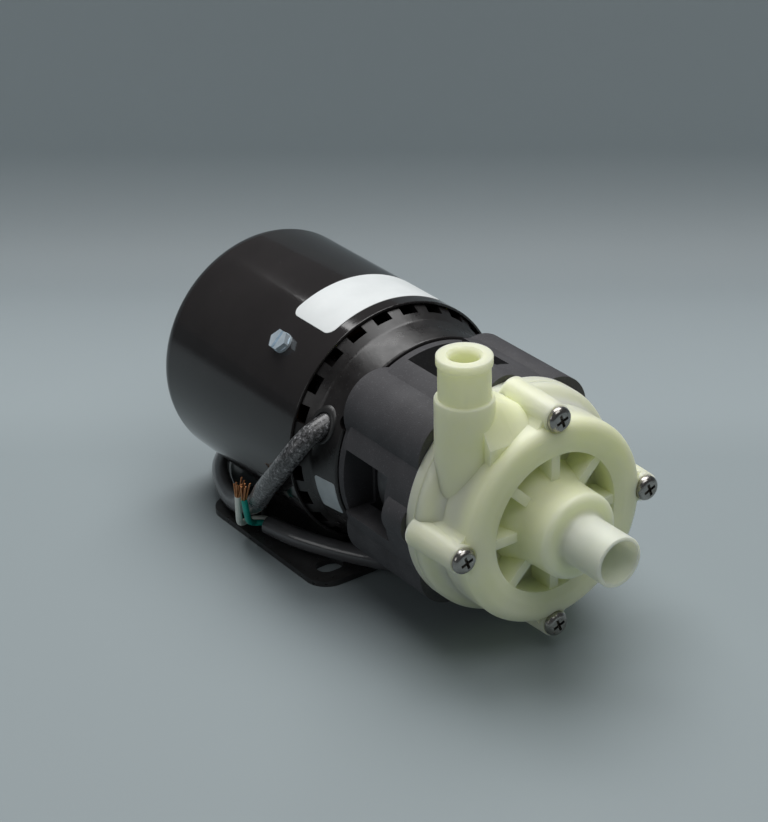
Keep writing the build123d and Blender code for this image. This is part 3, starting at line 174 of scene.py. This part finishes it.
# Soft lamps, with their width and height, and their power in watts
LAMPS = {
    "overhead": {
        "place": (0.26, 0.37, 1.2),
        "target": (0.0, 0.0, 0.0),
        "size": (1.2, 1.0),
        "power": 16.4,
    },
    "front_fill": {
        "place": (0.0, -0.6, 1.2),
        "target": (0.0, -0.05, 0.04),
        "size": (0.8, 0.8),
        "power": 4.5,
    },
    "left_fill": {
        "place": (-0.75, 0.05, 0.36),
        "target": (-0.03, -0.03, 0.02),
        "size": (0.4, 0.3),
        "power": 0.4,
    },
}

# Values of a noise at which the darker and the lighter tone are full; a closer pair gives more contrast
CLOSE_STOPS = (0.3, 0.7)
WIDE_STOPS = (0.3, 0.75)
FULL_STOPS = (0.0, 1.0)

# Grey dust on the motor's enamel and casting: its tones, and the scale of their noise
DUST_TONES = (0.1, 0.16)
DUST_SCALE = 300.0

# Sockets of a Mix node that mixes colours
MIX_SHARE = 0
MIX_FIRST = 6
MIX_SECOND = 7
MIX_RESULT = 2

# Metals by slot: darker and lighter tone, and the range of the roughness
METALS = {
    "zinc_steel": {
        "tones": ((0.28, 0.265, 0.245), (0.42, 0.41, 0.39)),
        "roughness": (0.16, 0.30),
    },
    # Drum screws: bluish zinc plating, made light and half metallic so they shine where no lamp
    # reflects in them, a painted glint
    "blue_zinc_painted_glint": {
        "tones": ((0.55, 0.66, 0.74), (0.72, 0.81, 0.88)),
        "roughness": (0.28, 0.42),
        "metallic": 0.5,
    },
    "bearing_bronze": {
        "tones": ((0.4, 0.26, 0.14), (0.5, 0.33, 0.18)),
        "roughness": (0.4, 0.5),
    },
    "lamination_steel": {
        "tones": ((0.2, 0.2, 0.21), (0.3, 0.3, 0.31)),
        "roughness": (0.45, 0.6),
    },
    # Winding copper darkened to a brown-black: painted shade, for the coil that sits in shade behind
    # the bell's vents
    "winding_copper": {
        "tones": ((0.10, 0.045, 0.02), (0.16, 0.07, 0.03)),
        "roughness": (0.35, 0.5),
    },
    "ground_steel": {
        "tones": (0.5, 0.62),
        "roughness": (0.2, 0.3),
    },
    # Dull dark grey, far darker than bare aluminium
    "cast_aluminium": {
        "tones": ((0.14, 0.14, 0.145), (0.2, 0.2, 0.205)),
        "roughness": (0.5, 0.65),
    },
    "bare_copper": {
        "tones": ((0.42, 0.17, 0.07), (0.72, 0.36, 0.16)),
        "roughness": (0.28, 0.45),
        "scale": 900.0,
    },
}

# Plain non-metals by slot, in the same way
PLAIN_FINISHES = {
    # Foot and saddle: a duller enamel whose slightly lighter tone is painted light, for the lit top of
    # the plate
    "foot_enamel": {
        "tones": (0.018, 0.034),
        "roughness": (0.26, 0.38),
        "scale": 300.0,
    },
    "grommet_plastic": {
        "tones": (0.015, 0.03),
        "roughness": (0.3, 0.42),
    },
    "label_paper": {
        "tones": ((0.68, 0.71, 0.71), (0.75, 0.78, 0.78)),
        "roughness": (0.4, 0.5),
        "scale": 90.0,
    },
    "label_foil": {
        "tones": ((0.36, 0.40, 0.42), (0.46, 0.50, 0.52)),
        "roughness": (0.3, 0.42),
        "scale": 150.0,
    },
    "magnet_ferrite": {
        "tones": (0.06, 0.1),
        "roughness": (0.5, 0.65),
    },
    "seal_rubber": {
        "tones": (0.015, 0.03),
        "roughness": (0.5, 0.6),
    },
    "white_ceramic": {
        "tones": ((0.8, 0.79, 0.75), (0.88, 0.87, 0.83)),
        "roughness": (0.15, 0.25),
    },
    "carbon": {
        "tones": (0.03, 0.05),
        "roughness": (0.45, 0.6),
    },
    "lead_white": {
        "tones": ((0.68, 0.72, 0.66), (0.8, 0.83, 0.78)),
        "roughness": (0.35, 0.45),
        "scale": 600.0,
    },
    "lead_green": {
        "tones": ((0.0, 0.30, 0.24), (0.0, 0.42, 0.34)),
        "roughness": (0.35, 0.45),
        "scale": 600.0,
    },
    "lead_black": {
        "tones": (0.015, 0.03),
        "roughness": (0.35, 0.45),
        "scale": 600.0,
    },
}

# Nodes that look different from the rest of their slot: the foot is a duller enamel whose slightly
# lighter tone is painted light on the plate's top, and the drum's screws are a lighter, bluer zinc
# whose brightness is a painted glint
OWN_MATERIALS = {
    "foot_plate": "foot_enamel",
    "motor_saddle": "foot_enamel",
    "shell_screws": "blue_zinc_painted_glint",
}


def add_object(name, data):
    """Object with this data, in the scene."""
    item = bpy.data.objects.new(name, data)
    scene.collection.objects.link(item)
    return item


def add_camera():
    """Camera at the photograph's place and angle."""
    data = bpy.data.cameras.new("camera")
    data.lens = CAMERA_LENS
    data.sensor_width = CAMERA_SENSOR
    data.clip_start = CAMERA_NEAR
    data.clip_end = CAMERA_FAR
    camera = add_object("camera", data)
    turn = Matrix.Rotation(CAMERA_AZIMUTH, 4, "Z")
    tilt = Matrix.Rotation(math.pi / 2 - CAMERA_PITCH, 4, "X")
    roll = Matrix.Rotation(CAMERA_ROLL, 4, "Z")
    camera.matrix_world = Matrix.Translation(CAMERA_PLACE) @ turn @ tilt @ roll
    bpy.context.scene.camera = camera


# Materials


def new_material(name):
    """New node material, with its node tree and its principled shader."""
    material = bpy.data.materials.new(name)
    material.use_nodes = True
    tree = material.node_tree
    return material, tree, tree.nodes["Principled BSDF"]


def set_inputs(node, **values):
    """Set a node's own sockets, with _ for a space in a socket's name."""
    for name, value in values.items():
        node.inputs[name.replace("_", " ")].default_value = value


def add_node(tree, kind, **values):
    """New node with the values given to its sockets."""
    node = tree.nodes.new(kind)
    set_inputs(node, **values)
    return node


def place_coordinates(tree):
    """Object coordinates. Every piece keeps the pump's own frame, so a scale means the same on all."""
    return tree.nodes.new("ShaderNodeTexCoord").outputs["Object"]


def noise(tree, scale, detail=3.0, roughness=0.55, distortion=0.0):
    """Value of a noise in the pump's own frame."""
    node = add_node(
        tree,
        "ShaderNodeTexNoise",
        Scale=scale,
        Detail=detail,
        Roughness=roughness,
        Distortion=distortion,
    )
    tree.links.new(place_coordinates(tree), node.inputs["Vector"])
    return node.outputs["Fac"]


def ramp(tree, value, tones, stops):
    """Colour ramp with each tone full at its own stop; a tone is a colour, or one number for a grey."""
    node = tree.nodes.new("ShaderNodeValToRGB")
    elements = node.color_ramp.elements
    while len(elements) < len(tones):
        elements.new(0.5)
    for element, tone, stop in zip(elements, tones, stops):
        element.position = stop
        element.color = (*tone, 1.0) if isinstance(tone, tuple) else (tone, tone, tone, 1.0)
    tree.links.new(value, node.inputs["Fac"])
    return node.outputs["Color"]


def clouds(tree, scale, tones, stops=WIDE_STOPS, detail=3.0):
    """Two tones that run into each other by a noise."""
    return ramp(tree, noise(tree, scale, detail), tones, stops)


def blended(tree, share, low, high):
    """Colour between two colour sockets by a share."""
    node = tree.nodes.new("ShaderNodeMix")
    node.data_type = "RGBA"
    tree.links.new(share, node.inputs[MIX_SHARE])
    tree.links.new(low, node.inputs[MIX_FIRST])
    tree.links.new(high, node.inputs[MIX_SECOND])
    return node.outputs[MIX_RESULT]


def along(tree, axis, start, end, low=0.0, high=1.0):
    """Value that goes from low to high between two places along an axis."""
    place = tree.nodes.new("ShaderNodeSeparateXYZ")
    tree.links.new(place_coordinates(tree), place.inputs["Vector"])
    span = add_node(
        tree,
        "ShaderNodeMapRange",
        From_Min=start,
        From_Max=end,
        To_Min=low,
        To_Max=high,
    )
    tree.links.new(place.outputs[axis], span.inputs["Value"])
    return span.outputs["Result"]


def dusted(tree, base, scale, share, stops):
    """Base colour with grey specks of dust on it, each of them up to the share given."""
    speck = clouds(tree, scale, (0.0, share), stops, detail=2.0)
    dust = clouds(tree, DUST_SCALE, DUST_TONES, FULL_STOPS)
    return blended(tree, speck, base, dust)


def bump(tree, shader, height, strength, distance):
    """Fine relief on the shader, from a height value."""
    node = add_node(tree, "ShaderNodeBump", Strength=strength, Distance=distance)
    tree.links.new(height, node.inputs["Height"])
    tree.links.new(node.outputs["Normal"], shader.inputs["Normal"])


def give_finish(tree, shader, colour, roughness):
    """Link the shader's colour and roughness."""
    tree.links.new(colour, shader.inputs["Base Color"])
    tree.links.new(roughness, shader.inputs["Roughness"])


def show_shaders(tree, share, first, second, output):
    """Send the first shader to the output where the share is 0, and the second where it is 1."""
    choice = tree.nodes.new("ShaderNodeMixShader")
    tree.links.new(share, choice.inputs["Fac"])
    tree.links.new(first, choice.inputs[1])
    tree.links.new(second, choice.inputs[2])
    tree.links.new(choice.outputs["Shader"], tree.nodes[output].inputs["Surface"])


def natural_plastic():
    """Uncoloured polypropylene: milky, waxy, faintly clouded, and paler in the thin inlet stub."""
    material, tree, shader = new_material("natural_plastic")
    cloud = noise(tree, scale=38.0, detail=4.0)
    body = ramp(tree, cloud, ((0.87, 0.92, 0.55), (0.90, 0.94, 0.63)), CLOSE_STOPS)
    stub = ramp(tree, cloud, ((0.82, 0.88, 0.63), (0.85, 0.90, 0.68)), CLOSE_STOPS)
    colour = blended(tree, along(tree, "Y", INLET_ROOT, INLET_THIN), body, stub)
    depth = along(tree, "Y", INLET_THIN, INLET_ROOT, low=0.006, high=0.010)
    tree.links.new(depth, shader.inputs["Subsurface Scale"])
    give_finish(tree, shader, colour, clouds(tree, 260.0, (0.32, 0.46)))
    set_inputs(shader, Subsurface_Weight=0.85, Subsurface_Radius=(1.0, 0.98, 0.8), IOR=1.49)
    bump(tree, shader, noise(tree, scale=420.0, detail=5.0), strength=0.1, distance=0.0004)
    return material


def black_plastic():
    """Satin moulded black plastic with a fine grain and some dust."""
    material, tree, shader = new_material("black_plastic")
    base = clouds(tree, 60.0, ((0.050, 0.049, 0.053), (0.074, 0.073, 0.078)), detail=4.0)
    grain = noise(tree, scale=2200.0, detail=4.0, roughness=0.7)
    speck = clouds(tree, 1500.0, (0.0, 0.45), stops=(0.60, 0.70))
    dust = ramp(tree, grain, ((0.12, 0.12, 0.13), (0.16, 0.16, 0.17)), FULL_STOPS)
    shine = clouds(tree, 140.0, (0.55, 0.7), CLOSE_STOPS)
    give_finish(tree, shader, blended(tree, speck, base, dust), shine)
    set_inputs(shader, Specular_IOR_Level=0.25)
    bump(tree, shader, grain, strength=0.5, distance=0.0002)
    return material


def black_casting():
    """Glossy black motor end bell with dust lying on it."""
    material, tree, shader = new_material("black_casting")
    base = clouds(tree, 90.0, ((0.008, 0.007, 0.007), (0.014, 0.012, 0.012)), detail=4.0)
    colour = dusted(tree, base, 1300.0, share=0.4, stops=(0.68, 0.76))
    give_finish(tree, shader, colour, clouds(tree, 200.0, (0.24, 0.38), CLOSE_STOPS))
    bump(tree, shader, noise(tree, scale=700.0, detail=4.0), strength=0.12, distance=0.0003)
    return material


def black_enamel():
    """Baked black enamel on pressed steel, with a faint orange peel and dust."""
    material, tree, shader = new_material("black_enamel")
    tones = ((0.017, 0.015, 0.015), (0.027, 0.024, 0.024))
    base = clouds(tree, 30.0, tones, stops=(0.3, 0.8), detail=5.0)
    colour = dusted(tree, base, 1000.0, share=0.2, stops=(0.72, 0.80))
    give_finish(tree, shader, colour, clouds(tree, 45.0, (0.06, 0.12), detail=5.0))
    set_inputs(shader, Coat_Weight=0.15, Coat_Roughness=0.12)
    bump(tree, shader, noise(tree, scale=330.0, detail=2.0), strength=0.05, distance=0.0003)
    return material


def cord_jacket():
    """Black thermoplastic cord: clean where it lies round the foot, with painted light that makes that
    loop a lighter grey, and dusty where it leaves the bell.
    """
    material, tree, shader = new_material("cord_jacket")
    # The clean loop's grey, well above a black jacket's tone, is painted light: the loop lies in the
    # drum's shade
    clean = clouds(tree, 120.0, ((0.092, 0.092, 0.097), (0.115, 0.115, 0.12)), CLOSE_STOPS)
    streaks = noise(tree, scale=900.0, detail=6.0, roughness=0.7, distortion=0.4)
    dusty_tones = (0.03, (0.095, 0.095, 0.10), (0.48, 0.48, 0.49))
    dusty = ramp(tree, streaks, dusty_tones, stops=(0.44, 0.56, 0.67))
    dustiness = along(tree, "Z", CORD_CLEAN_TOP, CORD_DUST_BOTTOM)
    clean_shine = clouds(tree, 300.0, (0.12, 0.2), CLOSE_STOPS)
    dusty_shine = ramp(tree, streaks, (0.2, 0.4), CLOSE_STOPS)
    colour = blended(tree, dustiness, clean, dusty)
    give_finish(tree, shader, colour, blended(tree, dustiness, clean_shine, dusty_shine))
    set_inputs(shader, Specular_IOR_Level=0.7)
    bump(tree, shader, noise(tree, scale=500.0, detail=5.0), strength=0.15, distance=0.0003)
    return material


def metal(name, tones, roughness, scale=400.0, metallic=1.0):
    """Bare or plated metal with small changes of tone and shine."""
    material, tree, shader = new_material(name)
    shine_scale = scale * 1.7
    bump_scale = scale * 2.5
    colour = clouds(tree, scale, tones, detail=4.0)
    give_finish(tree, shader, colour, clouds(tree, shine_scale, roughness, CLOSE_STOPS, detail=4.0))
    set_inputs(shader, Metallic=metallic)
    bump(tree, shader, noise(tree, bump_scale), strength=0.1, distance=0.0001)
    return material


def plain_finish(name, tones, roughness, scale=200.0):
    """Non-metal with small changes of tone and shine."""
    material, tree, shader = new_material(name)
    shine_scale = scale * 1.5
    bump_scale = scale * 4.0
    colour = clouds(tree, scale, tones, detail=4.0)
    give_finish(tree, shader, colour, clouds(tree, shine_scale, roughness, CLOSE_STOPS))
    bump(tree, shader, noise(tree, bump_scale), strength=0.1, distance=0.0002)
    return material


MATERIALS = {
    "natural_plastic": natural_plastic(),
    "black_plastic": black_plastic(),
    "black_casting": black_casting(),
    "black_enamel": black_enamel(),
    "cord_jacket": cord_jacket(),
}
for slot_name, finish in METALS.items():
    MATERIALS[slot_name] = metal(slot_name, **finish)
for slot_name, finish in PLAIN_FINISHES.items():
    MATERIALS[slot_name] = plain_finish(slot_name, **finish)


def give_materials():
    """Each CAD node takes its slot's material, or its own."""
    for entry in frame["record"]["subparts"]:
        node = nodes[entry["node"]]
        material = MATERIALS[OWN_MATERIALS.get(entry["node"], entry["material_slot"])]
        if not node.data.materials:
            node.data.materials.append(material)
        for slot in node.material_slots:
            slot.material = material


# Cord


def add_cord():
    """The cord as a smooth curve with the route's points as its control points."""
    curve = bpy.data.curves.new("cord", "CURVE")
    curve.dimensions = "3D"
    curve.resolution_u = 8
    curve.bevel_depth = CORD_RADIUS
    curve.bevel_resolution = 8
    curve.use_fill_caps = True
    spline = curve.splines.new("NURBS")
    spline.points.add(len(CORD_ROUTE) - 1)
    for point, place in zip(spline.points, CORD_ROUTE):
        point.co = (*place, 1.0)
    spline.order_u = 3
    spline.use_endpoint_u = True
    curve.materials.append(MATERIALS["cord_jacket"])
    cord = add_object("cord", curve)
    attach(cord, "pump_base")
    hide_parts("power_cord")


# Pieces made as meshes


def add_mesh_object(name, mesh, material):
    """Smooth-shaded object made from a bmesh, which is freed."""
    data = bpy.data.meshes.new(name)
    mesh.to_mesh(data)
    mesh.free()
    for face in data.polygons:
        face.use_smooth = True
    data.materials.append(material)
    return add_object(name, data)


def add_ring_piece(name, rings, slot):
    """Smooth piece of the base through rings of points, one ring after another right round."""
    mesh = bmesh.new()
    placed = [[mesh.verts.new(point) for point in ring] for ring in rings]
    for first, second in zip(placed, placed[1:] + placed[:1]):
        for index in range(len(first) - 1):
            mesh.faces.new((first[index], second[index], second[index + 1], first[index + 1]))
    bmesh.ops.recalc_face_normals(mesh, faces=mesh.faces)
    piece = add_mesh_object(name, mesh, MATERIALS[slot])
    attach(piece, "pump_base")
    return piece


def angles_round(steps):
    """Evenly spaced angles of one full turn."""
    return [2 * math.pi * step / steps for step in range(steps)]


def neck_radius(along_shaft):
    """Radius of the bell's neck at a place along y."""
    share = (NECK_REAR - along_shaft) / (NECK_REAR - NECK_FRONT)
    return NECK_REAR_RADIUS + share * (NECK_FRONT_RADIUS - NECK_REAR_RADIUS)


def on_neck(start, direction, rise):
    """Where a line leaves the neck, or a surface a little above it."""
    radius = neck_radius(start.y) + rise
    x, z = start.x, start.z - SHAFT_HEIGHT
    a = direction.x**2 + direction.z**2
    b = x * direction.x + z * direction.z
    c = x**2 + z**2 - radius**2
    return start + direction * ((math.sqrt(b * b - a * c) - b) / a)


def add_cord_collar():
    """Thin rim round the cord hole, lying on the bell's neck."""
    axis = Vector(CORD_EXIT_DIRECTION).normalized()
    side = Vector((0, 1, 0))
    up = axis.cross(side)
    rings = []
    for angle in angles_round(COLLAR_STEPS):
        outward = side * math.cos(angle) + up * math.sin(angle)
        starts = [(Vector(CORD_EXIT) + outward * radius, rise) for radius, rise in COLLAR_PROFILE]
        rings.append([on_neck(start, axis, rise) for start, rise in starts])
    collar = add_ring_piece("cord_collar", rings, "grommet_plastic")
    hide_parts("cord_grommet")


def add_cover_shoulder():
    """Shoulder of the pump cover: one smooth fall from the rear flange's rim to the volute ring."""
    rings = []
    for angle in angles_round(SHOULDER_STEPS):
        across, up = math.cos(angle), math.sin(angle)
        ring = [(radius * across, y, SHAFT_HEIGHT + radius * up) for radius, y in SHOULDER_PROFILE]
        rings.append(ring + ring[:1])
    add_ring_piece("cover_shoulder", rings, "natural_plastic")


# Floor, backdrop and light


def sweep_paper():
    """Pale paper, with painted light making it lighter towards the wall; seen from behind it is clear.
    """
    material, tree, shader = new_material("sweep_paper")
    # Painted light: the paper grows lighter towards the wall
    share = along(tree, "Y", PAINTED_LIGHT_START, BEND_START + BEND_RADIUS)
    colour = ramp(tree, share, (PAPER_FLOOR, PAPER_PAINTED_LIGHT_NEAR_WALL, PAPER_PAINTED_LIGHT_AT_WALL), stops=(0.0, 0.7, 1.0))
    tree.links.new(colour, shader.inputs["Base Color"])
    set_inputs(shader, Roughness=PAPER_ROUGHNESS)
    clear = tree.nodes.new("ShaderNodeBsdfTransparent")
    back = tree.nodes.new("ShaderNodeNewGeometry").outputs["Backfacing"]
    show_shaders(tree, back, shader.outputs["BSDF"], clear.outputs["BSDF"], "Material Output")
    return material


def floor_paper():
    """The sweep's floor tone, all over."""
    material, _, shader = new_material("floor_paper")
    set_inputs(shader, Base_Color=(*PAPER_FLOOR, 1.0), Roughness=PAPER_ROUGHNESS)
    return material


def add_paper(name, profile, material):
    """Strip of paper through a profile of (y, height) points, turned to face the camera."""
    mesh = bmesh.new()
    rows = [[mesh.verts.new((x, y, z)) for x in (-SWEEP_REACH, SWEEP_REACH)] for y, z in profile]
    for first, second in zip(rows, rows[1:]):
        mesh.faces.new((first[0], first[1], second[1], second[0]))
    paper = add_mesh_object(name, mesh, material)
    paper.rotation_euler = (0, 0, SWEEP_AZIMUTH)


def add_sweep():
    """Paper sweep, and under it the floor that runs on past the wall."""
    profile = [(SWEEP_FRONT, SWEEP_LEVEL), (BEND_START, SWEEP_LEVEL)]
    for step in range(1, BEND_STEPS + 1):
        angle = math.pi / 2 * step / BEND_STEPS
        rise = BEND_RADIUS * (1 - math.cos(angle))
        profile.append((BEND_START + BEND_RADIUS * math.sin(angle), SWEEP_LEVEL + rise))
    profile.append((BEND_START + BEND_RADIUS, SWEEP_LEVEL + WALL_HEIGHT))
    add_paper("sweep", profile, sweep_paper())
    add_paper("floor", [(SWEEP_FRONT, FLOOR_LEVEL), (FLOOR_BACK, FLOOR_LEVEL)], floor_paper())


def add_lamp(name, place, target, size, power):
    """Rectangular area lamp that faces its target."""
    data = bpy.data.lights.new(name, "AREA")
    data.shape = "RECTANGLE"
    data.size, data.size_y = size
    data.energy = power
    lamp = add_object(name, data)
    lamp.location = place
    direction = Vector(target) - Vector(place)
    lamp.rotation_euler = direction.to_track_quat("-Z", "Y").to_euler()


def add_world():
    """Weak sky for the light; where the camera sees past the sweep, it has the sweep's own tone."""
    world = bpy.data.worlds.new("studio")
    world.use_nodes = True
    tree = world.node_tree
    sky = tree.nodes["Background"]
    set_inputs(sky, Color=(*SKY_COLOUR, 1.0), Strength=SKY_STRENGTH)
    seen = add_node(tree, "ShaderNodeBackground", Color=(*BACKDROP_COLOUR, 1.0))
    to_camera = tree.nodes.new("ShaderNodeLightPath").outputs["Is Camera Ray"]
    show_shaders(
        tree,
        to_camera,
        sky.outputs["Background"],
        seen.outputs["Background"],
        "World Output",
    )
    scene.world = world


add_camera()
give_materials()
add_cord()
add_cord_collar()
add_cover_shoulder()
add_sweep()
for lamp_name, lamp_values in LAMPS.items():
    add_lamp(lamp_name, **lamp_values)
add_world()
scene.view_settings.view_transform = "Standard"
